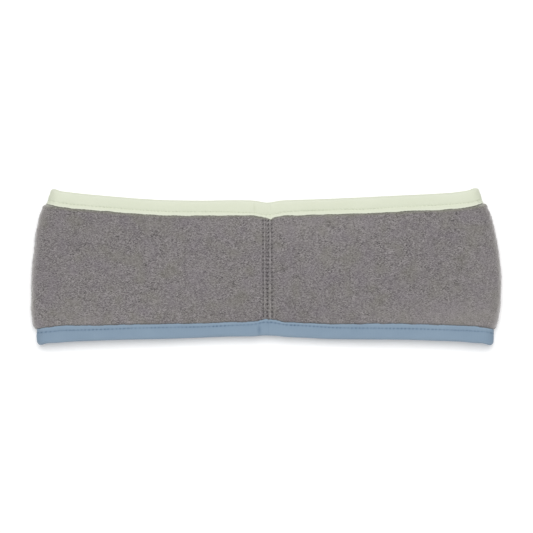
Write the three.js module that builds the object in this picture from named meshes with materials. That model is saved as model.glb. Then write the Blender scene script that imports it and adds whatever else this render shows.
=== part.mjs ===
// Ear warmer headband lying flat: a closed loop of brushed fleece with a seam at the centre front
// and a stretch binding folded over each edge.
// Millimetres. X runs along the band, +Y points to its upper edge, +Z up from the surface it lies on.
// The origin is below the middle of the band, on that surface.
import * as THREE from 'three';

// Driving dimensions
const flatLength = 245;
const sideHeight = 82;
const upperRise = 6.5;
const lowerDrop = 5;
const fleeceWall = 2.2;
const pressedWall = 1.2;
const bindingWall = 1;
const bindingWidth = 8;
const clearance = 0.3;
const layerGap = 5.2;
const frontSag = 0.5;
const frontBelly = 1.1;
const surfaceGap = 0.1;
const backInset = 1.5;

// The centre front seam
const seamShift = 0.8;
const seamWidth = 5.7;
const seamDepth = 0.55;
const puckerReach = 9;
const upperDip = 1.1;
const lowerLift = 0.7;

// Worked out from them
const halfLength = flatLength / 2;
const bindingOffset = pressedWall / 2 + clearance;
const coverOffset = bindingOffset + bindingWall;
const foldRadius = layerGap / 2 + coverOffset;
const middleHeight = foldRadius + coverOffset;
const backBelly = coverOffset - fleeceWall / 2 - surfaceGap;

// Places across the band count 0 to 1 over the lower binding, 1 to 2 over the bare fleece and
// 2 to 3 over the upper binding.
// The folds seen from above: how far the visible surface reaches, as a share of half the flat length.
const foldRows = [
  { place: 'lower edge', across: 0, left: 0.971, right: 0.9655 },
  { place: 'lower binding', across: 0.55, left: 0.973, right: 0.9665 },
  { place: 'lower lip', across: 1, left: 0.973, right: 0.968 },
  { place: 'fleece at the lower lip', across: 1.03, left: 0.987, right: 0.977 },
  { place: 'fleece swelling out', across: 1.07, left: 0.994, right: 0.985 },
  { place: 'widest on the left', across: 1.2, left: 1, right: 0.9965 },
  { place: 'widest on the right', across: 1.35, left: 0.998, right: 1 },
  { place: 'middle', across: 1.5, left: 0.9935, right: 0.995 },
  { place: 'above the middle', across: 1.65, left: 0.986, right: 0.984 },
  { place: 'upper part', across: 1.8, left: 0.973, right: 0.969 },
  { place: 'fleece drawing in', across: 1.92, left: 0.959, right: 0.949 },
  { place: 'fleece at the upper lip', across: 1.97, left: 0.948, right: 0.938 },
  { place: 'upper lip', across: 2, left: 0.931, right: 0.9235 },
  { place: 'upper binding', across: 2.5, left: 0.921, right: 0.912 },
  { place: 'upper edge', across: 3, left: 0.9185, right: 0.911 },
];

// The edges seen from above, from the middle (along 0) to the fold (along 1): the climb of the upper
// edge as a share of upperRise, and the fall of the lower edge as a share of lowerDrop.
const edgeRows = [
  { along: 0, upperLeft: 0.02, upperRight: 0.02, lowerLeft: 0.02, lowerRight: 0.02 },
  { along: 0.15, upperLeft: 0.04, upperRight: 0.07, lowerLeft: 0.04, lowerRight: 0.15 },
  { along: 0.3, upperLeft: 0, upperRight: 0.15, lowerLeft: 0.17, lowerRight: 0.31 },
  { along: 0.45, upperLeft: 0.03, upperRight: 0.26, lowerLeft: 0.29, lowerRight: 0.34 },
  { along: 0.6, upperLeft: 0.15, upperRight: 0.38, lowerLeft: 0.35, lowerRight: 0.36 },
  { along: 0.75, upperLeft: 0.36, upperRight: 0.5, lowerLeft: 0.46, lowerRight: 0.46 },
  { along: 0.87, upperLeft: 0.55, upperRight: 0.62, lowerLeft: 0.59, lowerRight: 0.57 },
  { along: 0.93, upperLeft: 0.66, upperRight: 0.74, lowerLeft: 0.72, lowerRight: 0.72 },
  { along: 0.97, upperLeft: 0.77, upperRight: 0.89, lowerLeft: 0.86, lowerRight: 0.86 },
  { along: 1, upperLeft: 0.92, upperRight: 1, lowerLeft: 0.95, lowerRight: 1 },
];

// The seam: places as shares of seamWidth, sinks as shares of seamDepth.
const seamRows = [
  { place: 'left pucker', at: -1.15, sink: 0 },
  { place: 'left field', at: -0.72, sink: 0 },
  { place: 'left stitch row', at: -0.42, sink: 1 },
  { place: 'left ridge', at: -0.23, sink: 0.1 },
  { place: 'middle stitch row', at: 0, sink: 0.9 },
  { place: 'right ridge', at: 0.21, sink: 0.1 },
  { place: 'right stitch row', at: 0.38, sink: 1 },
  { place: 'right field', at: 0.7, sink: 0 },
  { place: 'right pucker', at: 1.15, sink: 0 },
];

// Sections along a run outside the seam, as shares of the way from the pucker to the fold.
const runShares = [0, 0.1, 0.22, 0.35, 0.48, 0.61, 0.73, 0.84, 0.93, 1];
const foldSteps = 10;
const edgeSteps = 4;

// Bare fleece sections between the lips.
const bareRows = [1.02, 1.04, 1.08, 1.2, 1.35, 1.5, 1.65, 1.8, 1.92, 1.96, 1.98];
const swellShare = 0.045;

// A smooth curve through a table's rows that doesn't overshoot them.
function tableValue(rows, key, column, at) {
  const last = rows.length - 1;
  const place = THREE.MathUtils.clamp(at, rows[0][key], rows[last][key]);
  let i = 0;
  while (i < last - 1 && place > rows[i + 1][key]) {
    i += 1;
  }
  const slope = (j) => (rows[j + 1][column] - rows[j][column]) / (rows[j + 1][key] - rows[j][key]);
  const tangent = (j) => {
    if (j === 0 || j === last) {
      return slope(Math.min(j, last - 1));
    }
    const before = slope(j - 1);
    const after = slope(j);
    return before * after > 0 ? (2 * before * after) / (before + after) : 0;
  };
  const span = rows[i + 1][key] - rows[i][key];
  const t = (place - rows[i][key]) / span;
  const rise = rows[i + 1][column] - rows[i][column];
  const ease = t * t * (3 - 2 * t);
  const leave = t * (1 - t) * (1 - t) * tangent(i) * span;
  const arrive = t * t * (1 - t) * tangent(i + 1) * span;
  return rows[i][column] + rise * ease + leave - arrive;
}

// 0 in the bindings, 1 in the bare fleece a little way past their lips.
function bareness(across) {
  const fromLip = Math.min(across - 1, 2 - across);
  const start = clearance / sideHeight;
  return THREE.MathUtils.smoothstep(fromLip, start, swellShare);
}

// The bare fleece stands out from between the bindings.
function bulge(across) {
  const fromMiddle = THREE.MathUtils.clamp(2 * across - 3, -1, 1);
  return 1 - fromMiddle ** 4;
}

function halfWall(across) {
  return THREE.MathUtils.lerp(pressedWall, fleeceWall, bareness(across)) / 2;
}

// How far the middle of the wall reaches at a fold.
function middleReach(side, across) {
  const column = side < 0 ? 'left' : 'right';
  const skin = THREE.MathUtils.lerp(coverOffset, fleeceWall / 2, bareness(across));
  return halfLength * tableValue(foldRows, 'across', column, across) - skin;
}

// Y of the outer edges of the bindings.
function edgesAt(side, along, fromSeam, front) {
  const end = side < 0 ? 'Left' : 'Right';
  const pucker = front ? Math.exp(-3 * (fromSeam / puckerReach) ** 2) : 0;
  const inset = front ? 0 : backInset * (1 - along ** 4);
  const climb = upperRise * (tableValue(edgeRows, 'along', 'upper' + end, along) - 1);
  const fall = lowerDrop * (tableValue(edgeRows, 'along', 'lower' + end, along) - 1);
  return {
    upper: sideHeight / 2 + climb - upperDip * pucker - inset,
    lower: -sideHeight / 2 - fall + lowerLift * pucker + inset,
  };
}

function yAt(across, edges) {
  const lowerLip = edges.lower + bindingWidth;
  const upperLip = edges.upper - bindingWidth;
  if (across < 1) {
    return edges.lower + bindingWidth * across;
  }
  if (across > 2) {
    return edges.upper - bindingWidth * (3 - across);
  }
  return THREE.MathUtils.lerp(lowerLip, upperLip, across - 1);
}

// How far the front of the seam sinks at a distance right of its middle row.
function seamSink(fromSeam, across) {
  const at = fromSeam / seamWidth;
  return seamDepth * tableValue(seamRows, 'at', 'sink', at) * bareness(across);
}

// A point of the band. A section is on one side of the seam, at an angle from 90 degrees on the front
// layer, round the fold, to -90 degrees on the back layer. The offset is outward from the wall's middle.
function pointAt(section, across, offset) {
  const { side, near, share, angle } = section;
  const reach = middleReach(side, across);
  const foldStart = reach - foldRadius - side * seamShift;
  const outward = Math.cos(angle);
  const upward = Math.sin(angle);
  const fromSeam = near + share * (foldStart - near) + foldRadius * outward;
  const middleX = seamShift + side * fromSeam;
  const along = Math.min(Math.abs(middleX) / reach, 1);
  const front = upward > 0;
  const belly = bulge(across) * (front ? frontBelly : backBelly);
  const sag = front ? frontSag * (1 - along ** 2) ** 2 : 0;
  const sunk = front && offset > 0 && share === 0 ? seamSink(side * near, across) : 0;
  const edges = edgesAt(side, along, fromSeam, front);
  return new THREE.Vector3(
    middleX + side * offset * outward,
    yAt(across, edges),
    middleHeight + (foldRadius + belly + offset - sunk) * upward - sag,
  );
}

// Sections all the way round the loop, from the seam to the right.
function loopSections() {
  const front = Math.PI / 2;
  const seam = seamRows.map((row) => ({
    side: row.at < 0 ? -1 : 1,
    near: Math.abs(row.at) * seamWidth,
    share: 0,
    angle: front,
  }));
  const run = (side, angle) => runShares.map((share) => ({ side, near: puckerReach, share, angle }));
  const fold = (side) => Array.from({ length: foldSteps - 1 }, (_, step) => ({
    side,
    near: puckerReach,
    share: 1,
    angle: front - (Math.PI * (step + 1)) / foldSteps,
  }));
  return [
    ...seam.filter((section) => section.side > 0),
    ...run(1, front),
    ...fold(1),
    ...run(1, -front).reverse(),
    ...run(-1, -front),
    ...fold(-1).reverse(),
    ...run(-1, front).reverse(),
    ...seam.filter((section) => section.side < 0),
  ];
}

// Sweeps a closed outline round the whole loop, so the body closes on itself both ways.
function sweptLoop(outline) {
  const sections = loopSections();
  const positions = [];
  const indices = [];
  const count = outline.length;
  sections.forEach((section, i) => {
    const next = (i + 1) % sections.length;
    outline.forEach(({ across, offset }, j) => {
      positions.push(...pointAt(section, across, offset));
      const beside = (j + 1) % count;
      indices.push(i * count + j, next * count + j, next * count + beside);
      indices.push(i * count + j, next * count + beside, i * count + beside);
    });
  });
  const geometry = new THREE.BufferGeometry();
  geometry.setAttribute('position', new THREE.Float32BufferAttribute(positions, 3));
  geometry.setIndex(indices);
  geometry.computeVertexNormals();
  return geometry;
}

// A half circle round the folded edge, from its outer side to its inner side.
function roundEdge(radius) {
  return Array.from({ length: edgeSteps + 1 }, (_, step) => {
    const turn = Math.PI / 2 - (Math.PI * step) / edgeSteps;
    const fromEdge = coverOffset - radius * Math.cos(turn);
    return { across: fromEdge / bindingWidth, offset: radius * Math.sin(turn) };
  });
}

// The fleece's outline: the outer side going up, over the upper edge, the inner side going down.
function fleeceOutline() {
  const lowerEdge = roundEdge(pressedWall / 2).reverse();
  const upperEdge = roundEdge(pressedWall / 2).map(({ across, offset }) => ({ across: 3 - across, offset }));
  const lip = clearance / sideHeight;
  const rows = [0.6, 1 + lip, ...bareRows, 2 - lip, 2.4];
  const outer = rows.map((across) => ({ across, offset: halfWall(across) }));
  const inner = rows.map((across) => ({ across, offset: -halfWall(across) })).reverse();
  return [...lowerEdge, ...outer, ...upperEdge, ...inner];
}

// A binding's U section, from the outer lip round the edge to the inner lip and back along the side
// that faces the fleece. It is drawn at the lower edge.
function bindingOutline() {
  const lipRound = bindingWall / 2;
  const lipMiddle = bindingOffset + lipRound;
  const lipStart = (bindingWidth - lipRound) / bindingWidth;
  const legMiddle = 0.6;
  const lip = (face) => [
    { across: lipStart, offset: face * coverOffset },
    { across: 1, offset: face * lipMiddle },
    { across: lipStart, offset: face * bindingOffset },
  ];
  return [
    ...lip(1).reverse(),
    { across: legMiddle, offset: coverOffset },
    ...roundEdge(coverOffset),
    { across: legMiddle, offset: -coverOffset },
    ...lip(-1),
    { across: legMiddle, offset: -bindingOffset },
    ...roundEdge(bindingOffset).reverse(),
    { across: legMiddle, offset: bindingOffset },
  ];
}

function cloth(color, roughness) {
  return new THREE.MeshStandardMaterial({ color, roughness, metalness: 0 });
}

function piece(name, outline, material) {
  const mesh = new THREE.Mesh(sweptLoop(outline), material);
  mesh.name = name;
  return mesh;
}

function fleeceBand() {
  return piece('fleece_band', fleeceOutline(), cloth('#817d7d', 0.95));
}

function topBinding() {
  const mirrored = bindingOutline().map(({ across, offset }) => ({ across: 3 - across, offset }));
  return piece('top_binding', mirrored, cloth('#dee4d0', 0.85));
}

function bottomBinding() {
  return piece('bottom_binding', bindingOutline().reverse(), cloth('#889daf', 0.85));
}

const headband = new THREE.Group();
headband.add(fleeceBand(), topBinding(), bottomBinding());

export default headband;
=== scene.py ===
import math
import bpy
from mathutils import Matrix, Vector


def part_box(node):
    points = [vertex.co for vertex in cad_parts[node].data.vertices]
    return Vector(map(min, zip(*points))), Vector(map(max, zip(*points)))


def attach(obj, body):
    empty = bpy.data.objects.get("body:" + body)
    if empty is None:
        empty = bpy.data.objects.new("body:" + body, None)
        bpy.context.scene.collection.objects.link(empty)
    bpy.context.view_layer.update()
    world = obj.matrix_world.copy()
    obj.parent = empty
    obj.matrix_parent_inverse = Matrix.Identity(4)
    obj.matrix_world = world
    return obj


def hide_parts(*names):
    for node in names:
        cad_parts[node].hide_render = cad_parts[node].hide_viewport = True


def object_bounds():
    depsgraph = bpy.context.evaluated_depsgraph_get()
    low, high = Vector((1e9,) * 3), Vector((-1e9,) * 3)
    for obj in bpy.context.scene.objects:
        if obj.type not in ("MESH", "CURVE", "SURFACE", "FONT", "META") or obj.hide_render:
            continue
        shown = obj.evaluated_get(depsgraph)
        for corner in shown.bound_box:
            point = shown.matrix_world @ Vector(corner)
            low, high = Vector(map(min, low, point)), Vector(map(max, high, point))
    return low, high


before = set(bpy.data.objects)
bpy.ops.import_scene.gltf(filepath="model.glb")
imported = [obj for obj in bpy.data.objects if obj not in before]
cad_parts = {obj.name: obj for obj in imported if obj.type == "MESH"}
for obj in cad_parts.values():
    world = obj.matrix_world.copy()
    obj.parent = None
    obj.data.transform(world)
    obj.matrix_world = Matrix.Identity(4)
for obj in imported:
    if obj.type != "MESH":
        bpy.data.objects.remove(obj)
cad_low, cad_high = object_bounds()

from types import SimpleNamespace

import bpy
import numpy as np
from mathutils import Vector

# An ear warmer headband lying flat, in metres: +X along the band, +Y to its upper edge, +Z up.
# The three solids are replaced by finer meshes of the same form, laid out by the same rule.
MM = 0.001

# Sizes taken from the frame
HALF_LENGTH = (cad_high.x - cad_low.x) / 2
SIDE_HEIGHT = cad_high.y - cad_low.y
BINDING_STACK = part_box("top_binding")[1].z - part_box("top_binding")[0].z

# Sizes of the cloth
UPPER_RISE = 6.5 * MM
LOWER_DROP = 5 * MM
FLEECE_WALL = 2.2 * MM
PRESSED_WALL = 1.2 * MM
BINDING_WALL = 1 * MM
BINDING_WIDTH = 8 * MM
CLEARANCE = 0.3 * MM
FRONT_SAG = 0.5 * MM
FRONT_BELLY = 1.1 * MM
SURFACE_GAP = 0.1 * MM
LOWEST = 0.02 * MM
BACK_INSET = 1.5 * MM
BINDING_OFFSET = PRESSED_WALL / 2 + CLEARANCE
COVER_OFFSET = BINDING_OFFSET + BINDING_WALL
MIDDLE_HEIGHT = BINDING_STACK / 2
FOLD_RADIUS = MIDDLE_HEIGHT - COVER_OFFSET
BACK_BELLY = COVER_OFFSET - FLEECE_WALL / 2 - SURFACE_GAP
BARE_HEIGHT = 0.8 * SIDE_HEIGHT

# Where the fleece starts and ends to swell past a lip, as shares of the bare fleece's height
SWELL_FROM = 0.0015
SWELL_SHARE = 0.0055

# Steps of the sections at the seam, on the front and on the back, and how many go round a fold
FLEECE_STEPS = (0.25 * MM, 1.0 * MM, 2.4 * MM, 22)
BINDING_STEPS = (0.25 * MM, 0.5 * MM, 0.9 * MM, 30)

# The front hangs a little lower and less evenly than its solid does. Each wave has a length, how
# far it leans, where it starts and its share of LOOSE_HEIGHT.
LOOSE_SAG = 1 * MM
LOOSE_HEIGHT = 0.45 * MM
LOOSE_WAVES = (
    (83 * MM, 0.5, 0.6, 0.5),
    (57 * MM, -0.8, 2.1, 0.3),
    (38 * MM, 0.3, 4.0, 0.2),
)

# The centre front seam and its pucker
SEAM_SHIFT = 0.8 * MM
SEAM_REACH = 7 * MM
PUCKER_REACH = 9 * MM
UPPER_DIP = 1.1 * MM
LOWER_LIFT = 0.45 * MM
LIFT_SHIFT = 1 * MM
LIFT_REACH = 6.5 * MM
STITCH_PITCH = 2.06 * MM

# Where a lip runs differently near the seam: height, place right of the seam and reach
UPPER_NOTCH = (0.8 * MM, 1.55 * MM, 1.15 * MM)
LOWER_HUMP = (0.85 * MM, 0.2 * MM, 5 * MM)
LOWER_NOTCH = (0.4 * MM, 0.5 * MM, 0.5 * MM)
NOTCH_CROSSED = 0.8  # share of the upper notch that the stitches pass straight over

# Layers of soft random relief, each with its height and the size of its features
NAP = ((0.07 * MM, 1.5 * MM), (0.05 * MM, 3.4 * MM))
FLEECE_WAVES = ((0.16 * MM, 24 * MM), (0.07 * MM, 9 * MM))
BINDING_DENTS = ((0.05 * MM, 14 * MM), (0.022 * MM, 3 * MM))
EDGE_WAVES = ((0.1 * MM, 7 * MM), (0.045 * MM, 1.5 * MM))
WAVES_START = 0.5 * MM  # from a lip, where the fleece's waves begin
WAVES_FULL = 6 * MM

# The uneven ridge of pile beside each lip
PILE_HEIGHT = 0.45 * MM
PILE_FROM_LIP = 0.9 * MM
PILE_REACH = 1.2 * MM
TUFT_SHARE = 0.4
TUFT_SIZE = 1.3 * MM

# A binding's outer side: the rim at its lip, the groove and holes of its topstitch, and its crown
RIM_HEIGHT = 0.06 * MM
RIM_FROM_LIP = 0.3 * MM
RIM_REACH = 0.4 * MM
GROOVE_DEPTH = 0.1 * MM
GROOVE_REACH = 0.38 * MM
HOLE_DEPTH = 0.24 * MM
PINCH_HEIGHT = 0.045 * MM
PINCH_REACH = 1.6 * MM
CROWN_HEIGHT = 0.1 * MM
CROWN_WIDTH = 5.2 * MM
JOIN_DEPTH = 0.1 * MM
JOIN_REACH = 0.22 * MM
SCALLOP = 0.05 * MM
LIP_SLACK = 0.02  # how far a lip's waves may pass its line, as a share of the width
# FOLD_LIGHT is the strength of the painted highlight along the folded edge.
FOLD_LIGHT = 0.75  # how light the folded edge is
SHADE_START = 2 * MM  # from the folded edge, where the shade towards the stitches begins
SHADE_FULL = 5.5 * MM

# Sewing thread: where a stitch starts and ends between two needle holes, and how high its ends and
# its middle lie from the cloth's surface, for the topstitch and for the seam
THREAD_RADIUS = 0.15 * MM
STITCH_SPAN = (0.2, 0.8)
STITCH_LIFT = (-0.3 * MM, -0.06 * MM)
SEAM_THREAD_RADIUS = 0.17 * MM
SEAM_STITCH_SPAN = (0.14, 0.86)
SEAM_STITCH_LIFT = (-0.25 * MM, 0.12 * MM)
STITCH_POINTS = 7

# Which ways the fleece's fibres lie
FIBRE_TURNS = (0.35, -0.45)

# Patches of the front painted lighter: middle, reach both ways and strength
LIGHT_PATCHES = (
    (100 * MM, -27 * MM, 42 * MM, 9 * MM, 0.21),
    (114 * MM, -2 * MM, 10 * MM, 20 * MM, 0.1),
    (-91 * MM, -29 * MM, 22 * MM, 5 * MM, 0.14),
    (18 * MM, 22 * MM, 32 * MM, 9 * MM, 0.1),
)

# Knit of the bindings, in mm as their materials read it
KNIT_COLUMN = 0.85
KNIT_ROW = 0.6

# Folds seen from above: how far the visible surface reaches, as shares of half the length, by
# place across the band. 0 to 1 is the lower binding, 1 to 2 bare fleece, 2 to 3 the upper binding.
FOLD_COLUMNS = ("across", "left", "right")
FOLD_ROWS = (
    (0, 0.971, 0.9655),
    (0.55, 0.973, 0.9665),
    (1, 0.973, 0.968),
    (1.03, 0.987, 0.977),
    (1.07, 0.9925, 0.986),
    (1.2, 0.9975, 0.998),
    (1.35, 0.9955, 1.0015),
    (1.5, 0.991, 0.9965),
    (1.65, 0.9835, 0.9855),
    (1.8, 0.9715, 0.97),
    (1.92, 0.9575, 0.949),
    (1.97, 0.9475, 0.9385),
    (1.99, 0.9415, 0.933),
    (2, 0.9335, 0.925),
    (2.25, 0.9255, 0.9165),
    (2.5, 0.9213, 0.912),
    (2.8, 0.9145, 0.9055),
    (3, 0.9175, 0.908),
)

# Edges seen from above, from the middle to the fold: shares of UPPER_RISE and of LOWER_DROP
EDGE_COLUMNS = ("along", "upper_left", "upper_right", "lower_left", "lower_right")
EDGE_ROWS = (
    (0, -0.02, -0.02, 0.02, 0.02),
    (0.15, 0, 0.03, 0.04, 0.15),
    (0.3, -0.04, 0.11, 0.17, 0.31),
    (0.45, -0.01, 0.22, 0.29, 0.34),
    (0.6, 0.125, 0.34, 0.35, 0.36),
    (0.75, 0.335, 0.46, 0.46, 0.46),
    (0.87, 0.525, 0.58, 0.58, 0.57),
    (0.93, 0.65, 0.7, 0.69, 0.7),
    (0.96, 0.705, 0.79, 0.72, 0.73),
    (0.984, 0.85, 0.94, 0.82, 0.86),
    (1, 0.9, 0.97, 0.95, 0.97),
)

# How much wider the bindings show than BINDING_WIDTH on the front, as shares of it, from the left
# fold to the right one
LIP_COLUMNS = ("along", "upper", "lower")
LIP_ROWS = (
    (-1, -0.03, 0.06),
    (-0.985, 0.035, 0.03),
    (-0.96, 0, 0.02),
    (-0.91, 0.02, 0.08),
    (-0.83, 0, 0.03),
    (-0.64, -0.015, -0.02),
    (-0.45, 0.005, -0.02),
    (-0.26, -0.005, -0.08),
    (-0.07, -0.005, -0.05),
    (0.07, 0.015, -0.03),
    (0.3, 0.035, -0.02),
    (0.5, 0.055, 0.03),
    (0.85, 0.055, 0.04),
    (0.91, 0.055, 0.075),
    (0.96, 0.075, 0.06),
    (0.984, 0.085, 0.045),
    (1, -0.04, 0.03),
)

# Topstitch rows on the front, from the left fold to the right one: how far from the lips they run
# and how dark the painted shade in their groove and holes is. The back has the values of the ends,
# which are equal.
STITCH_COLUMNS = ("along", "upper", "lower", "upper_mark", "lower_mark")
STITCH_ROWS = (
    (-1, 2.0 * MM, 2.1 * MM, 0.15, 0.75),
    (-0.82, 2.05 * MM, 2.35 * MM, 0.15, 0.8),
    (-0.69, 2.05 * MM, 2.2 * MM, 0.12, 0.75),
    (-0.5, 2.05 * MM, 1.95 * MM, 0.12, 0.65),
    (-0.3, 2.1 * MM, 1.95 * MM, 0.15, 0.7),
    (-0.18, 1.9 * MM, 1.9 * MM, 0.4, 1.2),
    (-0.08, 1.5 * MM, 1.7 * MM, 0.3, 0.6),
    (-0.03, 1.5 * MM, 1.5 * MM, 0.0, 0.75),
    (0.05, 1.6 * MM, 1.45 * MM, 0.1, 0.9),
    (0.09, 2.0 * MM, 1.5 * MM, 0.7, 0.95),
    (0.2, 2.3 * MM, 1.6 * MM, 0.75, 1.0),
    (0.33, 2.35 * MM, 2.0 * MM, 0.45, 0.75),
    (0.46, 2.1 * MM, 2.25 * MM, 0.2, 0.8),
    (0.6, 2.35 * MM, 2.4 * MM, 0.15, 0.7),
    (0.84, 2.35 * MM, 2.4 * MM, 0.1, 0.6),
    (1, 2.0 * MM, 2.1 * MM, 0.15, 0.75),
)

# Stitch rows of the seam. Each has its place right of the seam's middle at its upper and lower end,
# its depth, how far its stitches swing aside and where it ends.
SEAM_STITCHES_FROM = -27.2 * MM
SEAM_STITCHES_TO = 24.6 * MM
SEAM_STITCH_START = 0.59
SEAM_ROWS = (
    (-2.36 * MM, -2.15 * MM, 0.34 * MM, 0.05 * MM, SEAM_STITCHES_FROM),
    (-1.05 * MM, -0.25 * MM, 0.22 * MM, 0.1 * MM, -12.5 * MM),
    (0.5 * MM, -0.15 * MM, 0.42 * MM, 0.18 * MM, SEAM_STITCHES_FROM),
    (2.16 * MM, 2.37 * MM, 0.32 * MM, 0.05 * MM, SEAM_STITCHES_FROM),
)
SEAM_ROW_REACH = 0.42 * MM
DEEPEST_ROW = max(row[2] for row in SEAM_ROWS)
HOLE_SPAN = (-0.1, 0.8)  # where a needle hole starts and is full, along the wave of the stitches

# Ridges between the rows: place right of the seam's middle and share of the full height
SEAM_RIDGES = ((-1.5 * MM, 0.6), (1.33 * MM, 1.0))
RIDGE_HEIGHT = 0.17 * MM
RIDGE_REACH = 0.34 * MM

# How far the seam's painted marks wander
WANDER_ASIDE = 0.35 * MM
WANDER_AHEAD = 0.7 * MM

# What differs between the bindings: how far right of the seam the ends join, how strong the
# painted highlight at the lip is, how far the painted highlight of the folded edge reaches and how
# much painted shade darkens the cloth towards the stitches. Each soft crease has its place right
# of the seam, how far it leans for each metre from the lip, its width, its depth, its middle's
# distance from the lip and its reach.
UPPER_STYLE = SimpleNamespace(
    edge="upper",
    join_place=1.4 * MM,
    lip_highlight=0.7,
    edge_highlight_reach=1.3 * MM,
    shade=0.2,
    creases=((-6.9 * MM, -0.15, 0.5 * MM, 0.35 * MM, 4.2 * MM, 3 * MM),),
    seed=11,
)
LOWER_STYLE = SimpleNamespace(
    edge="lower",
    join_place=0.5 * MM,
    lip_highlight=0.35,
    edge_highlight_reach=0.8 * MM,
    shade=0.06,
    creases=(
        (-4.3 * MM, 0.0, 0.8 * MM, 0.4 * MM, 5 * MM, 2.4 * MM),
        (-11.9 * MM, 0.0, 0.5 * MM, 0.18 * MM, 5.2 * MM, 2 * MM),
    ),
    seed=21,
)


def columns(names, rows):
    """A table's columns by name."""
    return {name: np.array(values, float) for name, values in zip(names, zip(*rows))}


FOLDS = columns(FOLD_COLUMNS, FOLD_ROWS)
EDGES = columns(EDGE_COLUMNS, EDGE_ROWS)
LIPS = columns(LIP_COLUMNS, LIP_ROWS)
STITCHES = columns(STITCH_COLUMNS, STITCH_ROWS)


def smooth_column(table, key, name, at):
    """A smooth curve through a table's column that doesn't overshoot its rows."""
    x, y = table[key], table[name]
    at = np.clip(at, x[0], x[-1])
    slope = np.diff(y) / np.diff(x)
    before, after = slope[:-1], slope[1:]
    same_way = before * after > 0
    total = np.where(same_way, before + after, 1)
    inner = np.where(same_way, 2 * before * after / total, 0)
    tangent = np.concatenate(([slope[0]], inner, [slope[-1]]))
    i = np.clip(np.searchsorted(x, at, side="right") - 1, 0, len(x) - 2)
    span = x[i + 1] - x[i]
    t = (at - x[i]) / span
    ease = t * t * (3 - 2 * t)
    leave = t * (1 - t) ** 2 * tangent[i] * span
    arrive = t * t * (1 - t) * tangent[i + 1] * span
    return y[i] + (y[i + 1] - y[i]) * ease + leave - arrive


def smoothstep(value, low, high):
    t = np.clip((value - low) / (high - low), 0, 1)
    return t * t * (3 - 2 * t)


def bell(distance, width):
    return np.exp(-((distance / width) ** 2))


def blend(a, b, t):
    return a + (b - a) * t


def ripple(points, size, seed):
    """Smooth random relief about -1 to 1 high, with features about size across."""
    waves = 24
    random = np.random.default_rng(seed)
    direction = random.normal(size=(waves, 3))
    direction /= np.linalg.norm(direction, axis=1)[:, None]
    length = size * random.uniform(0.7, 1.6, waves)
    phase = random.uniform(0, 2 * math.pi, waves)
    turn = points @ (2 * math.pi * direction / length[:, None]).T + phase
    return np.sin(turn).sum(-1) * math.sqrt(2 / waves)


def ripples(points, layers, seed):
    """The sum of some layers of relief, each drawn from the next seed."""
    return sum(height * ripple(points, size, seed + i) for i, (height, size) in enumerate(layers))


# The band's form

def bareness(across):
    """0 in the bindings, 1 in the bare fleece a little way past their lips."""
    return smoothstep(np.minimum(across - 1, 2 - across), SWELL_FROM, SWELL_SHARE)


def bulge(across):
    """How the bare fleece stands out from between the bindings."""
    return 1 - np.clip(2 * across - 3, -1, 1) ** 4


def half_wall(across):
    return blend(PRESSED_WALL, FLEECE_WALL, bareness(across)) / 2


def by_side(side, left, right):
    return np.where(side < 0, left, right)


def middle_reach(side, across):
    """How far the middle of the wall reaches at a fold."""
    skin = blend(COVER_OFFSET, FLEECE_WALL / 2, bareness(across))
    left = smooth_column(FOLDS, "across", "left", across)
    right = smooth_column(FOLDS, "across", "right", across)
    return HALF_LENGTH * by_side(side, left, right) - skin


def edge_share(side, along, edge):
    left = smooth_column(EDGES, "along", edge + "_left", along)
    right = smooth_column(EDGES, "along", edge + "_right", along)
    return by_side(side, left, right)


def seam_hump(right, form):
    """One of the small forms of a lip near the seam."""
    height, place, reach = form
    return height * bell(right - place, reach)


def lip_widths(side, along, from_seam, front):
    """Widths of the lower and the upper binding, with the notches where their ends meet."""
    signed = np.where(front, side * along, 0)
    lower = BINDING_WIDTH * (1 + front * smooth_column(LIPS, "along", "lower", signed))
    upper = BINDING_WIDTH * (1 + front * smooth_column(LIPS, "along", "upper", signed))
    right = side * from_seam
    upper = upper + front * seam_hump(right, UPPER_NOTCH)
    lower = lower + front * (seam_hump(right, LOWER_HUMP) - seam_hump(right, LOWER_NOTCH))
    return lower, upper


def height_at(across, side, along, from_seam, front):
    """Y of a place across the band."""
    pucker = front * np.exp(-3 * (from_seam / PUCKER_REACH) ** 2)
    lift = front * np.exp(-(((side * from_seam - LIFT_SHIFT) / LIFT_REACH) ** 4))
    inset = (1 - front) * BACK_INSET * (1 - along**4)
    climb = UPPER_RISE * (edge_share(side, along, "upper") - 1)
    fall = LOWER_DROP * (edge_share(side, along, "lower") - 1)
    upper = SIDE_HEIGHT / 2 + climb - UPPER_DIP * pucker - inset
    lower = -SIDE_HEIGHT / 2 - fall + LOWER_LIFT * lift + inset
    lower_width, upper_width = lip_widths(side, along, from_seam, front)
    in_lower = lower + lower_width * across
    in_upper = upper - upper_width * (3 - across)
    bare = blend(lower + lower_width, upper - upper_width, across - 1)
    return np.where(across < 1, in_lower, np.where(across > 2, in_upper, bare))


def loose_cloth(x, y):
    """How much lower the front hangs than FRONT_SAG, in long soft waves."""
    waves = 0
    for length, slope, start, share in LOOSE_WAVES:
        waves = waves + share * np.sin(2 * math.pi * (x + slope * y) / length + start)
    return LOOSE_SAG + LOOSE_HEIGHT * waves


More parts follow.
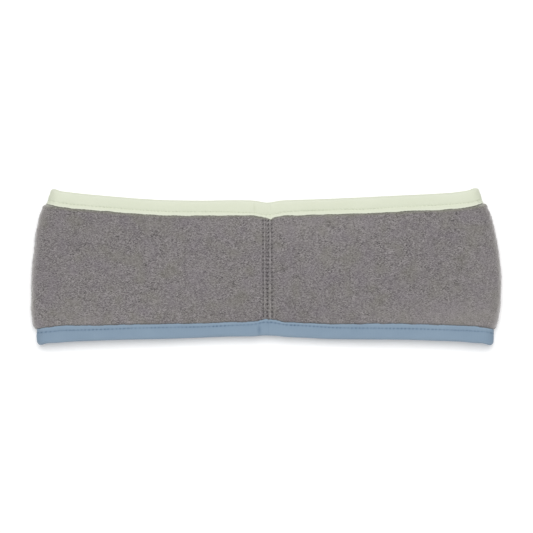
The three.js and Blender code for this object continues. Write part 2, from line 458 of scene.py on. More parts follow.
def laid_out(sections, across, offset):
    """Points of the band, for sections down the rows and places across along the columns."""
    side, near, share, angle = (
        value[:, None] for value in (sections.side, sections.near, sections.share, sections.angle)
    )
    reach = middle_reach(side, across)
    fold_start = reach - FOLD_RADIUS - side * SEAM_SHIFT
    outward, upward = np.cos(angle), np.sin(angle)
    from_seam = near + share * (fold_start - near) + FOLD_RADIUS * outward
    middle_x = SEAM_SHIFT + side * from_seam
    along = np.minimum(np.abs(middle_x) / reach, 1)
    front = (upward > 0).astype(float)
    belly = bulge(across) * blend(BACK_BELLY, FRONT_BELLY, front)
    x = middle_x + side * offset * outward
    y = height_at(across, side, along, from_seam, front)
    sag = front * (FRONT_SAG + loose_cloth(middle_x, y)) * (1 - along**2) ** 2
    z = MIDDLE_HEIGHT + (FOLD_RADIUS + belly + offset) * upward - sag
    return np.stack(np.broadcast_arrays(x, y, np.maximum(z, LOWEST)), axis=-1)


def loop_sections(seam_step, front_step, back_step, fold_steps):
    """Sections all the way round, from the seam to the right, with finer steps at the seam."""
    quarter = math.pi / 2
    seam = np.arange(0, SEAM_REACH - seam_step / 2, seam_step)
    back_middle = np.arange(0, SEAM_REACH - back_step / 2, back_step)
    front = np.linspace(0, 1, max(2, round((HALF_LENGTH - SEAM_REACH) / front_step)))
    back = np.linspace(0, 1, max(2, round((HALF_LENGTH - SEAM_REACH) / back_step)))
    fold = np.linspace(quarter, -quarter, fold_steps + 1)[1:-1]
    parts = [
        (1, seam, 0, quarter),
        (1, SEAM_REACH, front, quarter),
        (1, SEAM_REACH, 1, fold),
        (1, SEAM_REACH, back[::-1], -quarter),
        (1, back_middle[::-1], 0, -quarter),
        (-1, back_middle[1:], 0, -quarter),
        (-1, SEAM_REACH, back, -quarter),
        (-1, SEAM_REACH, 1, fold[::-1]),
        (-1, SEAM_REACH, front[::-1], quarter),
        (-1, seam[:0:-1], 0, quarter),
    ]
    rows = [np.stack(np.broadcast_arrays(*part), -1).reshape(-1, 4) for part in parts]
    side, near, share, angle = np.concatenate(rows).astype(float).T
    sections = SimpleNamespace(side=side, near=near, share=share, angle=angle)
    middle = laid_out(sections, np.array([1.5]), np.array([0.0]))[:, 0]
    step = np.linalg.norm(np.roll(middle, -1, axis=0) - middle, axis=1)
    sections.start = np.concatenate(([0], np.cumsum(step)[:-1]))
    sections.length = step.sum()
    return sections


def right_of_seam(sections):
    """How far right of the seam each section is, or far away where it isn't near the seam."""
    near_seam = (sections.share == 0) & (sections.angle > 0)
    return np.where(near_seam, sections.side * sections.near, 1.0)[:, None]


def along_front(sections):
    """Each section's place along the front as a share of half the length, and 1 on the back."""
    x = laid_out(sections, np.array([1.5]), np.array([0.0]))[:, 0, 0]
    return np.where(sections.angle > 0, x / HALF_LENGTH, 1.0)[:, None]


# Meshes

def new_object(name, vertices, faces):
    """A smooth mesh from an array of points and a list of faces."""
    mesh = bpy.data.meshes.new(name)
    mesh.from_pydata(vertices.tolist(), [], faces)
    mesh.polygons.foreach_set("use_smooth", [True] * len(mesh.polygons))
    obj = bpy.data.objects.new(name, mesh)
    bpy.context.scene.collection.objects.link(obj)
    return obj


def ring_faces(rows, columns_count):
    """Quads of a grid that closes on itself both ways, and their corners in the grid."""
    i, j = np.meshgrid(np.arange(rows), np.arange(columns_count), indexing="ij")
    corners = [(i, j), (i + 1, j), (i + 1, j + 1), (i, j + 1)]
    faces = np.stack([(a % rows) * columns_count + b % columns_count for a, b in corners], -1)
    places = np.stack([np.stack(corner, -1) for corner in corners], -2)
    return faces.reshape(-1, 4), places.reshape(-1, 4, 2)


def swept_loop(name, points, sections):
    """A closed mesh from a grid of points, with its bake map."""
    rows, count = points.shape[:2]
    faces, places = ring_faces(rows, count)
    obj = new_object(name, points.reshape(-1, 3), faces.tolist())
    outline = np.linalg.norm(np.roll(points, -1, axis=1) - points, axis=2).mean(0)
    down = np.concatenate(([0], np.cumsum(outline))) / outline.sum()
    round_it = np.concatenate((sections.start, [sections.length])) / sections.length
    bake_map = obj.data.uv_layers.new(name="OFBake")
    uv = np.stack((round_it[places[..., 0]], down[places[..., 1]]), -1)
    bake_map.uv.foreach_set("vector", uv.reshape(-1).astype(np.float32))
    return obj


def add_values(obj, values, points):
    """Keeps numbers for the material: one of each name for each vertex of the grid."""
    for name, value in values.items():
        attribute = obj.data.attributes.new(name, "FLOAT", "POINT")
        spread = np.broadcast_to(value, points.shape[:2])
        attribute.data.foreach_set("value", spread.astype(np.float32).reshape(-1))


def round_edge(radius, steps):
    """A half circle round the folded lower edge, from the outer side to the inner side."""
    turn = np.linspace(math.pi / 2, -math.pi / 2, steps + 1)
    across = (COVER_OFFSET - radius * np.cos(turn)) / BINDING_WIDTH
    return across, radius * np.sin(turn)


# The fleece

def fleece_rows():
    """Places across and the side of the wall (1 outer, -1 inner) of the fleece's outline."""
    edge_across, edge_offset = round_edge(PRESSED_WALL / 2, 6)
    near_lip = np.array([0.45, 0.7, 0.85, 0.95, 1.0])
    swell = 1 + SWELL_SHARE * np.array([0.25, 0.4, 0.6, 0.8, 1.05])
    between = np.linspace(swell[-1], 3 - swell[-1], 122)[1:-1]
    outer_bare = np.concatenate((swell, between, 3 - swell[::-1]))
    inner_bare = 1.5 - 0.5 * np.cos(np.linspace(0, math.pi, 40))[1:-1]
    outer = np.concatenate((near_lip, outer_bare, 3 - near_lip[::-1]))
    inner = np.concatenate((near_lip, inner_bare, 3 - near_lip[::-1]))[::-1]
    across = np.concatenate((edge_across[::-1], outer, 3 - edge_across, inner))
    edge = edge_offset / (PRESSED_WALL / 2)
    face = np.concatenate((edge[::-1], np.ones(len(outer)), edge, -np.ones(len(inner))))
    return across, face


def row_line(upper, lower):
    """How far a seam row leans for each metre up, and its place at the middle of the band."""
    lean = (upper - lower) / (SEAM_STITCHES_TO - SEAM_STITCHES_FROM)
    return lean, lower - lean * SEAM_STITCHES_FROM


def seam_relief(right, distance_up):
    """Height of the seam's sunk rows, needle holes and ridges, for the outer side."""
    relief = 0
    uneven = 1 + 0.3 * np.sin(distance_up / (1.7 * MM)) * np.sin(distance_up / (0.67 * MM))
    turn = distance_up / STITCH_PITCH - SEAM_STITCH_START
    hole = smoothstep(np.cos(2 * math.pi * turn), *HOLE_SPAN)
    for upper, lower, depth, swing, lowest in SEAM_ROWS:
        lean, middle = row_line(upper, lower)
        place = middle + lean * distance_up + swing * np.sin(math.pi * turn)
        stretch = smoothstep(distance_up, lowest - STITCH_PITCH, lowest)
        sunk = depth * (0.4 + 1.3 * hole) * stretch
        relief = relief - bell(right - place, SEAM_ROW_REACH) * sunk
    for place, share in SEAM_RIDGES:
        relief = relief + bell(right - place, RIDGE_REACH) * RIDGE_HEIGHT * share * uneven
    return relief


def light_patches(points):
    """How much lighter each point is painted."""
    light = 0
    x, y = points[..., 0], points[..., 1]
    for right, up, width, height, share in LIGHT_PATCHES:
        light = light + share * bell(x - right, width) * bell(y - up, height)
    return light


def fleece_band():
    sections = loop_sections(*FLEECE_STEPS)
    across, face = fleece_rows()
    plain = laid_out(sections, across, half_wall(across) * face)
    outer = (face > 0.99) * bareness(across)
    seam = seam_relief(right_of_seam(sections), plain[..., 1])
    lip_distance = np.minimum(across - 1, 2 - across) * BARE_HEIGHT
    tufts = 1 + TUFT_SHARE * ripple(plain, TUFT_SIZE, 5)
    pile = PILE_HEIGHT * bell(lip_distance - PILE_FROM_LIP, PILE_REACH) * tufts
    calm = smoothstep(lip_distance, WAVES_START, WAVES_FULL) * (face > 0)
    relief = (ripples(plain, NAP, 1) + seam + pile) * outer + ripples(plain, FLEECE_WAVES, 3) * calm
    points = laid_out(sections, across, (half_wall(across) + relief) * face)
    obj = swept_loop("fleece_outer", points, sections)
    above = sections.angle[:, None] > -0.5
    values = {
        # Painted shade: the seam's sunk rows are painted darker.
        "seam_shade": np.clip(-seam / (0.5 * MM), -0.4, 1) * outer,
        # Painted light with an olive tint on the fleece just below the green lip, where its shadow
        # falls.
        "beside_green": bell((2 - across) * BARE_HEIGHT, 0.9 * MM) * (face > 0),
        # Painted sheen: the fleece is painted lighter round the folds.
        "fold_sheen": smoothstep(np.cos(sections.angle), 0.3, 0.9)[:, None],
        "light_patch": light_patches(points) * above,
    }
    add_values(obj, values, points)
    return obj


# The bindings

def binding_rows():
    """Places across and offsets of a binding's outline at the lower edge."""
    lip = 1 - BINDING_WALL / 2 / BINDING_WIDTH
    turn = np.linspace(-math.pi / 2, math.pi / 2, 9)
    lip_across = lip + (1 - lip) * np.cos(turn)
    lip_offset = BINDING_OFFSET + BINDING_WALL / 2 * (1 + np.sin(turn))
    leg = np.linspace(lip, COVER_OFFSET / BINDING_WIDTH, 22)[1:-1]
    cover_across, cover_offset = round_edge(COVER_OFFSET, 14)
    facing_across, facing_offset = round_edge(BINDING_OFFSET, 8)

    def along_leg(places, height):
        return places, np.full(len(places), height)

    parts = (
        (lip_across, lip_offset),
        along_leg(leg, COVER_OFFSET),
        (cover_across, cover_offset),
        along_leg(leg[::-1], -COVER_OFFSET),
        (lip_across[::-1], -lip_offset[::-1]),
        along_leg(leg[::3], -BINDING_OFFSET),
        (facing_across[::-1], facing_offset[::-1]),
        along_leg(leg[::-3], BINDING_OFFSET),
    )
    across, offset = (np.concatenate(values) for values in zip(*parts))
    return across, offset


def whole_pitch(sections):
    """The stitch pitch that fits the loop a whole number of times."""
    return sections.length / round(sections.length / STITCH_PITCH)


def stitch_line(edge, sections):
    """How far from the lip the topstitch runs."""
    distance = smooth_column(STITCHES, "along", edge, along_front(sections))
    if edge == "upper":
        distance = distance + NOTCH_CROSSED * seam_hump(right_of_seam(sections), UPPER_NOTCH)
    return distance


def crease_relief(creases, right, from_lip, front):
    """Depth of the soft creases, and how strongly each place gets their painted shade."""
    depth, crease_shade = 0, 0
    for place, lean, width, deepest, middle, reach in creases:
        from_middle = from_lip - middle
        crease = bell(right - place - lean * from_middle, width) * bell(from_middle, reach) * front
        depth = depth + crease * deepest
        crease_shade = np.maximum(crease_shade, crease)
    return depth, crease_shade


def wavy_lip(across, waves, upper):
    """Places across with the waves of the lip in them."""
    way = -1 if upper else 1
    low, high = (2 - LIP_SLACK, 3) if upper else (0, 1 + LIP_SLACK)
    return np.clip(across + way * waves / BINDING_WIDTH, low, high)


def binding(name, style):
    """One folded binding, with its topstitch groove, its join and its creases."""
    upper = style.edge == "upper"
    sections = loop_sections(*BINDING_STEPS)
    across, offset = binding_rows()
    if not upper:
        across, offset = across[::-1], offset[::-1]
    place = 3 - across if upper else across
    plain = laid_out(sections, place, offset)
    right = right_of_seam(sections)
    front = sections.angle[:, None] > 0
    from_lip = (1 - across) * BINDING_WIDTH
    from_edge = BINDING_WIDTH - from_lip
    from_stitches = from_lip - stitch_line(style.edge, sections)
    steps = np.hypot(np.diff(from_lip), np.diff(offset))
    rise = np.concatenate(([0], np.cumsum(steps)))
    skin = smoothstep(np.abs(offset), BINDING_OFFSET, COVER_OFFSET)
    turn = 2 * math.pi * sections.start[:, None] / whole_pitch(sections)
    hole = smoothstep(np.cos(turn), -0.4, 0.5)

    groove = bell(from_stitches, GROOVE_REACH)
    rim = bell(from_lip - RIM_FROM_LIP, RIM_REACH)
    crown = np.sin(math.pi * np.clip(from_stitches / CROWN_WIDTH, 0, 1))
    join = bell(right - style.join_place, JOIN_REACH) * front
    crease_depth, crease_shade = crease_relief(style.creases, right, from_lip, front)
    relief = RIM_HEIGHT * rim + CROWN_HEIGHT * crown - groove * (GROOVE_DEPTH + HOLE_DEPTH * hole)
    relief = relief + PINCH_HEIGHT * bell(from_stitches, PINCH_REACH) * (0.5 - hole)
    relief = relief + ripples(plain, BINDING_DENTS, style.seed) - JOIN_DEPTH * join - crease_depth
    waves = ripples(plain, EDGE_WAVES, style.seed + 2) + SCALLOP * np.cos(turn)
    wavy = wavy_lip(place, waves * smoothstep(across, 0.8, 1), upper)
    points = laid_out_wavy(sections, wavy, offset + np.sign(offset) * relief * skin, upper)
    obj = swept_loop(name, points, sections)

    # Painted shade in the topstitch's groove and holes and towards the stitches; the join line is
    # darker too.
    mark = smooth_column(STITCHES, "along", style.edge + "_mark", along_front(sections))
    marked = mark * groove * (0.15 + 0.85 * hole)
    shaded = style.shade * smoothstep(from_edge, SHADE_START, SHADE_FULL)
    shaded = shaded * smoothstep(from_stitches, 0, 0.4 * MM)
    edge_highlight = FOLD_LIGHT * bell(from_edge, style.edge_highlight_reach)
    values = {
        "sunk": np.maximum(np.maximum(marked, 0.25 * join), shaded) * skin,
        "crease_shade": crease_shade,
        # Painted highlight at the lip's rim and along the folded edge.
        "rim": (style.lip_highlight * rim + edge_highlight) * skin,
        "run": sections.start[:, None] / MM,
        "rise": rise / MM,
    }
    add_values(obj, values, points)
    return obj


def laid_out_wavy(sections, across, offset, upper):
    """laid_out for places a little past a lip, which keep to the binding's own rule."""
    inside = np.clip(across, 2, 3) if upper else np.clip(across, 0, 1)
    points = laid_out(sections, inside, offset)
    points[..., 1] += (across - inside) * BINDING_WIDTH
    return points


# Sewing thread

def thread_tubes(name, centres, radius, sides=6):
    """One mesh of closed tubes, from an array of (stitch, point, xyz)."""
    stitches, count = centres.shape[:2]
    way = np.gradient(centres, axis=1)
    way /= np.linalg.norm(way, axis=2, keepdims=True)
    across = np.cross(way, np.array([0.0, 0.0, 1.0]))
    flat = np.linalg.norm(across, axis=2, keepdims=True)
    across = np.where(flat > 0.2, across / np.maximum(flat, 1e-9), np.array([0.0, 1.0, 0.0]))
    above = np.cross(across, way)
    turn = np.linspace(0, 2 * math.pi, sides, endpoint=False)
    taper = np.sin(np.linspace(0.12, 0.88, count) * math.pi) ** 0.35 * radius
    aside, upward = np.cos(turn)[:, None], np.sin(turn)[:, None]
    ring = across[:, :, None] * aside + above[:, :, None] * upward
    points = centres[:, :, None] + ring * taper[None, :, None, None]
    i, j = np.meshgrid(np.arange(count - 1), np.arange(sides), indexing="ij")
    here, beside = i * sides + j, i * sides + (j + 1) % sides
    walls = np.stack((here, beside, beside + sides, here + sides), -1).reshape(-1, 4)
    starts = np.arange(stitches) * count * sides
    quads = (walls[None] + starts[:, None, None]).reshape(-1, 4)
    first = (np.arange(sides)[::-1][None] + starts[:, None]).tolist()
    last = (np.arange(sides)[None] + starts[:, None] + (count - 1) * sides).tolist()
    return new_object(name, points.reshape(-1, 3), quads.tolist() + first + last)


def along_row(sections, across, offset, at):
    """Points at distances round the loop on one row, and which way is out there."""
    path = laid_out(sections, across, np.array([offset]))[:, 0]
    side, angle = sections.side, sections.angle
    out = np.stack((side * np.cos(angle), 0 * angle, np.sin(angle)), -1)
    start = np.concatenate((sections.start, [sections.length]))
    path = np.concatenate((path, path[:1]))
    out = np.concatenate((out, out[:1]))
    place = at % sections.length
    points = np.stack([np.interp(place, start, path[:, k]) for k in range(3)], -1)
    normal = np.stack([np.interp(place, start, out[:, k]) for k in range(3)], -1)
    return points, normal / np.linalg.norm(normal, axis=-1, keepdims=True)


def arch(count):
    """Height of a stitch over the cloth, from one needle hole to the next."""
    return np.sin(np.linspace(0, math.pi, count)) ** 0.6


def topstitch(name, edge):
    """The row of stitches near a binding's lip, on its outer and its inner side."""
    sections = loop_sections(*BINDING_STEPS)
    pitch = whole_pitch(sections)
    count = round(sections.length / pitch)
    spread = np.linspace(*STITCH_SPAN, STITCH_POINTS)
    at = (np.arange(count)[:, None] + spread[None, :]) * pitch
    across = 1 - stitch_line(edge, sections) / BINDING_WIDTH
    across = 3 - across if edge == "upper" else across
    lift = blend(*STITCH_LIFT, arch(STITCH_POINTS))
    rows = []
    for face in (1, -1):
        points, normal = along_row(sections, across, face * COVER_OFFSET, at)
        points = points + face * normal * lift[None, :, None]
        points[..., 2] = np.maximum(points[..., 2], LOWEST + THREAD_RADIUS)
        rows.append(points)
    return thread_tubes(name, np.concatenate(rows), THREAD_RADIUS)


def bare_place(right, y):
    """Places across the band for heights on the bare fleece, near the seam on the front."""
    side = np.where(right < 0, -1.0, 1.0)
    along = np.abs(SEAM_SHIFT + right) / HALF_LENGTH
    ends = [height_at(np.float64(place), side, along, np.abs(right), 1.0) for place in (1, 2)]
    return 1 + (y - ends[0]) / (ends[1] - ends[0])


def seam_stitches():
    """Rows of stitches down the centre front."""
    spread = np.linspace(*SEAM_STITCH_SPAN, STITCH_POINTS)
    lift = blend(*SEAM_STITCH_LIFT, arch(STITCH_POINTS))
    last = math.floor(SEAM_STITCHES_TO / STITCH_PITCH)
    rows = []
    for upper, lower, depth, swing, lowest in SEAM_ROWS:
        numbers = np.arange(math.ceil(lowest / STITCH_PITCH), last)
        turn = numbers[:, None] + spread
        y = (turn + SEAM_STITCH_START) * STITCH_PITCH
        lean, middle = row_line(upper, lower)
        right = middle + lean * y + swing * np.sin(math.pi * turn)
        offset = FLEECE_WALL / 2 - 0.95 * depth + lift + 0 * y
        flat = right.reshape(-1)
        spots = SimpleNamespace(
            side=np.where(flat < 0, -1.0, 1.0),
            near=np.abs(flat),
            share=0 * flat,
            angle=0 * flat + math.pi / 2,
        )
        across = bare_place(flat, y.reshape(-1))[:, None]
        rows.append(laid_out(spots, across, offset.reshape(-1, 1)).reshape(*y.shape, 3))
    return thread_tubes("seam_stitches", np.concatenate(rows), SEAM_THREAD_RADIUS)


# Materials

def srgb(red, green, blue):
    """A linear colour from the usual 0 to 255 values."""
    def linear(value):
        value = value / 255
        return value / 12.92 if value <= 0.04045 else ((value + 0.055) / 1.055) ** 2.4
    return (linear(red), linear(green), linear(blue), 1)


class Nodes:
    """A short way to write node trees."""

    def __init__(self, name):
        self.material = bpy.data.materials.new(name)
        self.material.use_nodes = True
        self.tree = self.material.node_tree
        self.shader = self.tree.nodes["Principled BSDF"]

    def add(self, kind, **values):
        node = self.tree.nodes.new(kind)
        for key, value in values.items():
            setattr(node, key, value)
        return node

    def put(self, socket, value):
        if isinstance(value, bpy.types.NodeSocket):
            self.tree.links.new(value, socket)
        else:
            socket.default_value = value

    def math(self, operation, a, b=0.0, c=0.0):
        node = self.add("ShaderNodeMath", operation=operation)
        for socket, value in zip(node.inputs, (a, b, c)):
            self.put(socket, value)
        return node.outputs[0]

    def place(self, stretch=(1, 1, 1), turn=0.0):
        """Object coordinates in metres, turned about Z and then stretched."""
        coordinates = self.add("ShaderNodeTexCoord")
        turned = self.add("ShaderNodeVectorRotate", rotation_type="Z_AXIS")
        self.put(turned.inputs["Vector"], coordinates.outputs["Object"])
        turned.inputs["Angle"].default_value = turn
        mapping = self.add("ShaderNodeMapping")
        self.put(mapping.inputs["Vector"], turned.outputs[0])
        mapping.inputs["Scale"].default_value = stretch
        return mapping.outputs[0]

    def xyz(self):
        """Object coordinates in metres, one by one."""
        split = self.add("ShaderNodeSeparateXYZ")
        self.put(split.inputs[0], self.add("ShaderNodeTexCoord").outputs["Object"])
        return split.outputs

    def noise(self, size, detail=2.0, roughness=0.5, distortion=0.0, at=None):
        """Noise from about 0 to 1 with features about size metres across."""
        node = self.add("ShaderNodeTexNoise")
        self.put(node.inputs["Vector"], at or self.place())
        node.inputs["Scale"].default_value = 0.5 / size
        node.inputs["Detail"].default_value = detail
        node.inputs["Roughness"].default_value = roughness
        node.inputs["Distortion"].default_value = distortion
        return node.outputs["Fac"]

    def patches(self, size, low, high, detail=1.0, roughness=0.5):
        """Soft patches about size metres across, from low to high."""
        return self.spread(self.noise(size, detail, roughness), 0.35, 0.65, low, high)

    def mix(self, share, a, b):
        node = self.add("ShaderNodeMix", data_type="RGBA")
        self.put(node.inputs[0], share)
        self.put(node.inputs[6], a)
        self.put(node.inputs[7], b)
        return node.outputs[2]

    def spread(self, value, low, high, to_low=0.0, to_high=1.0):
        node = self.add("ShaderNodeMapRange")
        for socket, number in zip(node.inputs, (value, low, high, to_low, to_high)):
            self.put(socket, number)
        return node.outputs[0]

    def value_of(self, name, share=1.0):
        """A share of one of the mesh's values."""
        node = self.add("ShaderNodeAttribute", attribute_name=name)
        return self.math("MULTIPLY", node.outputs["Fac"], share)

    def bump(self, height, strength, distance):
        node = self.add("ShaderNodeBump")
        node.inputs["Strength"].default_value = strength
        node.inputs["Distance"].default_value = distance
        self.put(node.inputs["Height"], height)
        self.put(self.shader.inputs["Normal"], node.outputs[0])


def cloth_shader(nodes, roughness, sheen, sheen_roughness):
    shader = nodes.shader
    shader.inputs["Roughness"].default_value = roughness
    shader.inputs["Specular IOR Level"].default_value = 0.2
    shader.inputs["Sheen Weight"].default_value = sheen
    shader.inputs["Sheen Roughness"].default_value = sheen_roughness


def crossing_threads(nodes, right, y, turn):
    """Slanting threads between the two middle rows: 0 in their gaps, 0.5 elsewhere, 1 on them."""
    left_row, right_row = SEAM_ROWS[1], SEAM_ROWS[2]
    way_over = nodes.spread(right, left_row[1], right_row[0])
    slant = nodes.math("MULTIPLY_ADD", way_over, -0.5, turn)
    wave = nodes.math("COSINE", nodes.math("MULTIPLY", slant, 2 * math.pi))
    inside = nodes.math("MULTIPLY", way_over, nodes.math("SUBTRACT", 1.0, way_over))
    ends = nodes.spread(y, left_row[4] - STITCH_PITCH, left_row[4], 0.0, 2.0)
    return nodes.math("MULTIPLY_ADD", nodes.math("MULTIPLY", inside, ends), wave, 0.5)


def seam_marks(nodes):
    """The seam's needle holes, the ridges between its rows and its crossing threads, 0 to 1, as
    masks of its painted shade and painted highlights.
    """
    x, y, z = nodes.xyz()
    front = nodes.math("GREATER_THAN", z, MIDDLE_HEIGHT)
    aside = nodes.spread(nodes.noise(2.5 * MM, detail=1), 0, 1, -WANDER_ASIDE, WANDER_ASIDE)
    ahead = nodes.spread(nodes.noise(3.1 * MM, detail=1), 0, 1, -WANDER_AHEAD, WANDER_AHEAD)
    right = nodes.math("ADD", nodes.math("SUBTRACT", x, SEAM_SHIFT), aside)
    y = nodes.math("ADD", y, ahead)
    holes, ridges = 0.0, 0.0
    turn = nodes.math("MULTIPLY_ADD", y, 1 / STITCH_PITCH, -SEAM_STITCH_START)
    zigzag = nodes.math("SINE", nodes.math("MULTIPLY", turn, math.pi))
    along = nodes.math("COSINE", nodes.math("MULTIPLY", turn, 2 * math.pi))
    dash = nodes.math("MULTIPLY", nodes.spread(along, *HOLE_SPAN), front)
    for upper, lower, depth, swing, lowest in SEAM_ROWS:
        lean, middle = row_line(upper, lower)
        place = nodes.math("MULTIPLY_ADD", y, lean, middle)
        place = nodes.math("MULTIPLY_ADD", zigzag, swing, place)
        distance = nodes.math("ABSOLUTE", nodes.math("SUBTRACT", right, place))
        hole = nodes.math("MULTIPLY", nodes.spread(distance, 0.6 * MM, 0.1 * MM), dash)
        stretch = nodes.spread(y, lowest - STITCH_PITCH, lowest, 0.0, depth / DEEPEST_ROW)
        holes = nodes.math("MAXIMUM", holes, nodes.math("MULTIPLY", hole, stretch))
    for place, share in SEAM_RIDGES:
        distance = nodes.math("ABSOLUTE", nodes.math("SUBTRACT", right, place))
        ridge = nodes.spread(distance, 0.45 * MM, 0.1 * MM, 0.0, share)
        ridges = nodes.math("MAXIMUM", ridges, nodes.math("MULTIPLY", ridge, front))
    return holes, ridges, crossing_threads(nodes, right, y, turn)


def fleece_fibres(nodes):
    """Crossing fibres, from about 0 to 1."""
    place = nodes.place((1, 1.6, 1))
    fine = nodes.noise(0.3 * MM, detail=3, roughness=0.7, distortion=1.0, at=place)
    streaks = []
    for turn in FIBRE_TURNS:
        place = nodes.place((0.4, 1, 1), turn)
        streaks.append(nodes.noise(0.22 * MM, detail=2, distortion=0.5, at=place))
    longest = nodes.math("MAXIMUM", *streaks)
    return nodes.math("MULTIPLY_ADD", longest, 0.55, nodes.math("MULTIPLY", fine, 0.5))


def fleece_material():
    """Heather-grey brushed fleece of light and dark fibres, with painted shade and painted
    highlights at its seam and a painted sheen at its folds.
    """
    nodes = Nodes("grey_fleece")
    cloth_shader(nodes, roughness=0.95, sheen=0.8, sheen_roughness=0.5)
    fibres = fleece_fibres(nodes)
    tints = nodes.noise(4.5 * MM, detail=1)
    holes, ridges, threads = seam_marks(nodes)
    hole_shade_strength = nodes.patches(1.8 * MM, 0.55, 0.9)
    ridge_highlight_strength = nodes.patches(1.3 * MM, 0.1, 0.6)
    painted_shade_grey = srgb(62, 58, 59)

    # Clumps of fibres, warm and cool tints, tufts and wide brushed patches, then the places that
    # the mesh marks: a painted sheen round the folds, lighter patches, painted shade in the seam's
    # sunk rows and painted light with an olive tint where the green lip's shadow falls; then the
    # seam, with painted shade in its thread gaps and needle holes and a painted highlight on its
    # threads and ridges
    layers = (
        (nodes.patches(2.2 * MM, 0.0, 0.3, detail=2), srgb(115, 110, 111)),
        (nodes.spread(tints, 0.52, 0.7, 0.0, 0.3), srgb(121, 120, 106)),
        (nodes.spread(tints, 0.48, 0.3, 0.0, 0.3), srgb(119, 111, 121)),
        (nodes.patches(3.2 * MM, 0.0, 0.2, detail=2, roughness=0.6), srgb(146, 142, 142)),
        (nodes.patches(45 * MM, 0.0, 0.1), srgb(90, 86, 86)),
        (nodes.value_of("fold_sheen", 0.2), srgb(172, 163, 155)),
        (nodes.value_of("light_patch"), srgb(168, 163, 160)),
        (nodes.value_of("seam_shade", 0.5), painted_shade_grey),
        (nodes.value_of("beside_green", 0.3), srgb(156, 160, 122)),
        (nodes.spread(threads, 0.5, 0.1, 0.0, 0.5), painted_shade_grey),
        (nodes.spread(threads, 0.5, 0.9, 0.0, 0.5), srgb(176, 172, 172)),
        (nodes.math("MULTIPLY", holes, hole_shade_strength), srgb(48, 44, 45)),
        (nodes.math("MULTIPLY", ridges, ridge_highlight_strength), srgb(165, 161, 160)),
    )
    dark_fibre, light_fibre = srgb(44, 40, 40), srgb(164, 159, 159)
    colour = nodes.mix(nodes.spread(fibres, 0.457, 0.643), dark_fibre, light_fibre)
    for share, tint in layers:
        colour = nodes.mix(share, colour, tint)
    nodes.put(nodes.shader.inputs["Base Color"], colour)
    nodes.bump(fibres, strength=0.7, distance=0.35 * MM)
    return nodes.material


def knit(nodes):
    """Columns of small V stitches, 0 between them to 1 on their yarn."""
    column = nodes.math("MULTIPLY", nodes.value_of("run"), 1 / KNIT_COLUMN)
    from_middle = nodes.math("ABSOLUTE", nodes.math("SUBTRACT", nodes.math("FRACT", column), 0.5))
    row = nodes.math("MULTIPLY_ADD", nodes.value_of("rise"), 1 / KNIT_ROW, from_middle)
    wave = nodes.math("SINE", nodes.math("MULTIPLY", row, 2 * math.pi))
    ridge = nodes.spread(wave, -1, 1)
    valley = nodes.spread(from_middle, 0.5, 0.3)
    return nodes.math("MULTIPLY", ridge, valley)


def binding_material(name, body, rim, sunk):
    """Matt stretch knit of fine stitches, with a painted highlight at its rim and folded edge and
    painted shade in its creases and stitch line.
    """
    nodes = Nodes(name)
    cloth_shader(nodes, roughness=0.8, sheen=0.12, sheen_roughness=0.4)
    cloudy = nodes.noise(7 * MM, detail=2)
    fuzz = nodes.noise(0.3 * MM, detail=1)
    yarn = nodes.math("MULTIPLY_ADD", fuzz, 0.4, knit(nodes))
    colour = nodes.mix(nodes.spread(yarn, 1.1, 0.2, 0.0, 0.14), body, sunk)
    colour = nodes.mix(nodes.spread(cloudy, 0.3, 0.7, 0.0, 0.15), colour, rim)
    # Painted highlight at the lip's rim and the folded edge.
    colour = nodes.mix(nodes.value_of("rim", 0.75), colour, rim)
    # Painted shade in the creases, then in the stitch groove and holes and towards the stitches,
    # with the darker join line.
    colour = nodes.mix(nodes.value_of("crease_shade", 0.4), colour, sunk)
    strength = nodes.patches(4 * MM, 0.4, 0.9)
    colour = nodes.mix(nodes.value_of("sunk", strength), colour, sunk)
    nodes.put(nodes.shader.inputs["Base Color"], colour)
    nodes.bump(yarn, strength=0.4, distance=0.12 * MM)
    return nodes.material


def thread_material(name, colour, dark):
    """Twisted sewing thread."""
    nodes = Nodes(name)
    cloth_shader(nodes, roughness=0.7, sheen=0.1, sheen_roughness=0.4)
    twist = nodes.noise(0.25 * MM, detail=1)
    twisted = nodes.mix(nodes.spread(twist, 0.3, 0.7), dark, colour)
    nodes.put(nodes.shader.inputs["Base Color"], twisted)
    nodes.bump(twist, strength=0.3, distance=0.08 * MM)
    return nodes.material


def floor_material():
    """A white sweep that glows a little, as a lit table does."""
    nodes = Nodes("white_sweep")
    nodes.shader.inputs["Base Color"].default_value = (0.9, 0.9, 0.9, 1)
    nodes.shader.inputs["Roughness"].default_value = 1
    nodes.shader.inputs["Specular IOR Level"].default_value = 0
    nodes.shader.inputs["Emission Color"].default_value = (1, 1, 1, 1)
    nodes.shader.inputs["Emission Strength"].default_value = FLOOR_GLOW
    return nodes.material


# The stage

FLOOR_HALF = 4
FLOOR_GLOW = 0.16
KEY_PLACE, KEY_SIZE, KEY_WATTS = (0, 0.42, 1.72), 0.85, 24
FILL_PLACE, FILL_SIZE, FILL_WATTS = (0, -1.6, 0.6), 1.2, 5
WORLD_LIGHT = 0.3

# The photograph's width and the band's width in it, and where the camera stands beside the middle
PHOTO_PIXELS = 533
BAND_PIXELS = 471
CAMERA_SHIFT = (0.26 * MM, 0.1 * MM)


def aim(obj, target):
    obj.rotation_euler = (Vector(target) - obj.location).to_track_quat("-Z", "Y").to_euler()


def add_floor():
    square = np.array([(-1, -1, 0), (1, -1, 0), (1, 1, 0), (-1, 1, 0)], float)
    floor = new_object("floor", FLOOR_HALF * square, [(0, 1, 2, 3)])
    floor.data.materials.append(floor_material())


def add_light(name, place, size, watts):
    light = bpy.data.lights.new(name, "AREA")
    light.shape = "SQUARE"
    light.size = size
    light.energy = watts
    obj = bpy.data.objects.new(name, light)
    obj.location = place
    bpy.context.scene.collection.objects.link(obj)
    aim(obj, (0, 0, 0))


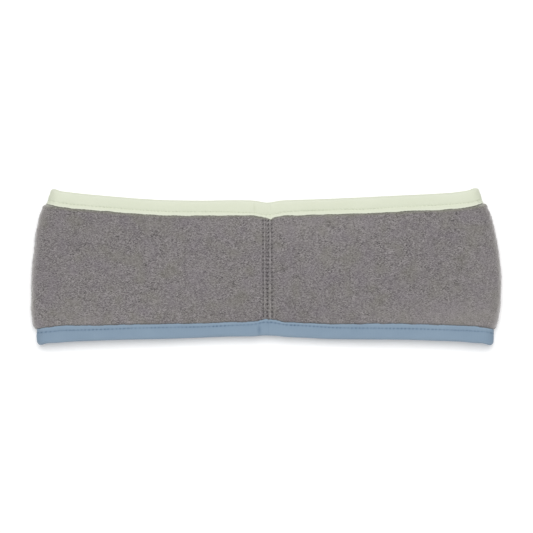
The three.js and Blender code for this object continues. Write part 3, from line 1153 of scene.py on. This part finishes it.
def add_world(strength):
    world = bpy.data.worlds.new("studio")
    world.use_nodes = True
    background = world.node_tree.nodes["Background"]
    background.inputs["Color"].default_value = (1, 1, 1, 1)
    background.inputs["Strength"].default_value = strength
    bpy.context.scene.world = world


def add_camera():
    """Straight above the band, framed as the photograph is."""
    camera = bpy.data.cameras.new("camera")
    camera.sensor_width = 36
    camera.lens = 120
    frame_width = PHOTO_PIXELS * 2 * HALF_LENGTH / BAND_PIXELS
    distance = frame_width * camera.lens / camera.sensor_width
    obj = bpy.data.objects.new("camera", camera)
    obj.location = (*CAMERA_SHIFT, MIDDLE_HEIGHT + distance)
    bpy.context.scene.collection.objects.link(obj)
    bpy.context.scene.camera = obj


def add_stage():
    add_floor()
    add_light("key", KEY_PLACE, KEY_SIZE, KEY_WATTS)
    add_light("fill", FILL_PLACE, FILL_SIZE, FILL_WATTS)
    add_world(WORLD_LIGHT)
    add_camera()
    bpy.context.scene.view_settings.view_transform = "Standard"


# The object

def finish_piece(obj, material, node=None):
    obj.data.materials.append(material)
    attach(obj, "root")
    if node:
        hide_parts(node)


def build_fleece():
    fleece = fleece_band()
    finish_piece(fleece, fleece_material(), "fleece_band")
    stitches = seam_stitches()
    thread = thread_material("grey_thread", srgb(138, 133, 133), srgb(104, 100, 100))
    finish_piece(stitches, thread)


def build_upper_binding():
    # rim is the lighter colour, of the painted highlight and of cloudy patches; sunk is the darker
    # one, of the painted shade.
    body, rim, sunk = srgb(220, 225, 204), srgb(232, 235, 221), srgb(196, 202, 181)
    obj = binding("upper_edge_binding", UPPER_STYLE)
    cloth = binding_material("green_binding", body, rim, sunk)
    finish_piece(obj, cloth, "top_binding")
    stitches = topstitch("upper_topstitch", "upper")
    thread = thread_material("green_thread", srgb(219, 225, 204), sunk)
    finish_piece(stitches, thread)


def build_lower_binding():
    # rim is the lighter colour, of the painted highlight and of cloudy patches; sunk is the darker
    # one, of the painted shade.
    body, rim, sunk = srgb(135, 155, 174), srgb(160, 179, 194), srgb(82, 106, 130)
    obj = binding("lower_edge_binding", LOWER_STYLE)
    cloth = binding_material("blue_binding", body, rim, sunk)
    finish_piece(obj, cloth, "bottom_binding")
    stitches = topstitch("lower_topstitch", "lower")
    thread = thread_material("blue_thread", srgb(134, 156, 178), srgb(112, 134, 158))
    finish_piece(stitches, thread)


build_fleece()
build_upper_binding()
build_lower_binding()
add_stage()
